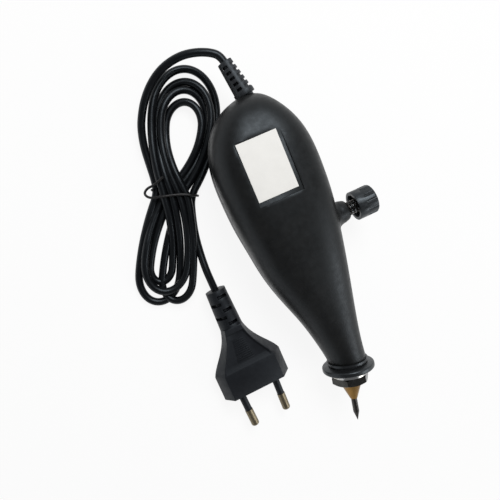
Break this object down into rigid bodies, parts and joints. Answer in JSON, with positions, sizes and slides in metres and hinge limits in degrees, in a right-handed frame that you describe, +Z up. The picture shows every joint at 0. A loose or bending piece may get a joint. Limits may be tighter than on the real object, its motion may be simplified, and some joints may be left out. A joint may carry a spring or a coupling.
{
  "type": "electric engraving pen",
  "caption": "Mains engraving pen: moulded casing round a vibrating needle arm, a stroke knob with a spring, a nose nut, and a tied cord with a flat two-pin plug.",
  "frame": {"origin": "on the flat of the belly that the pen lies on, under the middle of the label's length and on the casing's centre line", "axes": "+X along the pen to the needle, +Y towards the adjuster knob, +Z up, out of the label"},
  "size_m": [0.1986, 0.1249, 0.0388],
  "materials": {
    "casing_plastic": "satin charcoal black moulded plastic",
    "label_white": "bare white plastic label",
    "zinc": "bright zinc plated steel",
    "brass": "turned brass",
    "needle_steel": "dark hardened steel",
    "knob_plastic": "black moulded plastic",
    "spring_steel": "oiled spring steel wire",
    "soft_rubber": "black flexible plastic",
    "cord_jacket": "glossy black cord jacket",
    "tie_wire": "black coated tie wire",
    "plug_plastic": "matte black moulded plug",
    "pin_nickel": "nickel plated brass",
    "core_iron": "stacked iron sheets",
    "bobbin_nylon": "pale nylon",
    "copper": "enamelled copper wire",
    "wire_jacket": "brown wire insulation"
  },
  "bodies": {
    "housing": {"upper_shell": "casing_plastic", "lower_shell": "casing_plastic", "rating_label": "label_white", "casing_screws": "zinc", "nose_collar": "casing_plastic", "nose_sleeve": "brass", "nose_ring": "zinc", "nose_nut": "zinc", "pivot_pin": "zinc", "magnet_core": "core_iron", "coil_bobbin": "bobbin_nylon", "coil_winding": "copper", "core_screws": "zinc", "insert_nut": "brass", "adjuster_spring": "spring_steel", "preload_spring": "spring_steel", "return_spring": "spring_steel", "cable_boot": "soft_rubber", "cord_inner": "cord_jacket", "cord_clamp": "knob_plastic", "clamp_screws": "zinc", "lead_wires": "wire_jacket", "cord_hank": "cord_jacket", "cord_lead": "cord_jacket", "cord_tail": "cord_jacket", "cord_tie": "tie_wire", "plug_body": "plug_plastic", "plug_pins": "pin_nickel", "pin_sleeves": "plug_plastic"},
    "adjuster_slide": {"spring_washer": "zinc"},
    "adjuster": {"adjuster_knob": "knob_plastic", "adjuster_screw": "zinc"},
    "arm": {"vibrating_arm": "zinc", "armature": "core_iron", "armature_rivets": "zinc", "needle_holder": "brass", "needle": "needle_steel"}
  },
  "joints": [
    {"name": "adjuster_travel", "type": "slide", "parent": "housing", "child": "adjuster_slide", "axis": [0, 1, 0], "range_m": [-0.0024, 0.0016], "deforming": ["adjuster_spring", "preload_spring"]},
    {"name": "knob_turn", "type": "hinge", "parent": "adjuster_slide", "child": "adjuster", "pos_m": [0.0342, 0, 0.019], "axis": [0, 1, 0], "range_deg": [-1080.1, 720.1], "deforming": ["adjuster_spring", "preload_spring"]},
    {"name": "arm_swing", "type": "hinge", "parent": "housing", "child": "arm", "pos_m": [0.01991, 0.01879, 0.019], "axis": [0, 0, 1], "range_deg": [-0.45, 0.2], "stiffness_Nm_per_rad": 12, "deforming": ["preload_spring", "return_spring"]}
  ],
  "couplings": [
    {"joint": "knob_turn", "follows": "adjuster_travel", "rad_per_m": 7854}
  ]
}
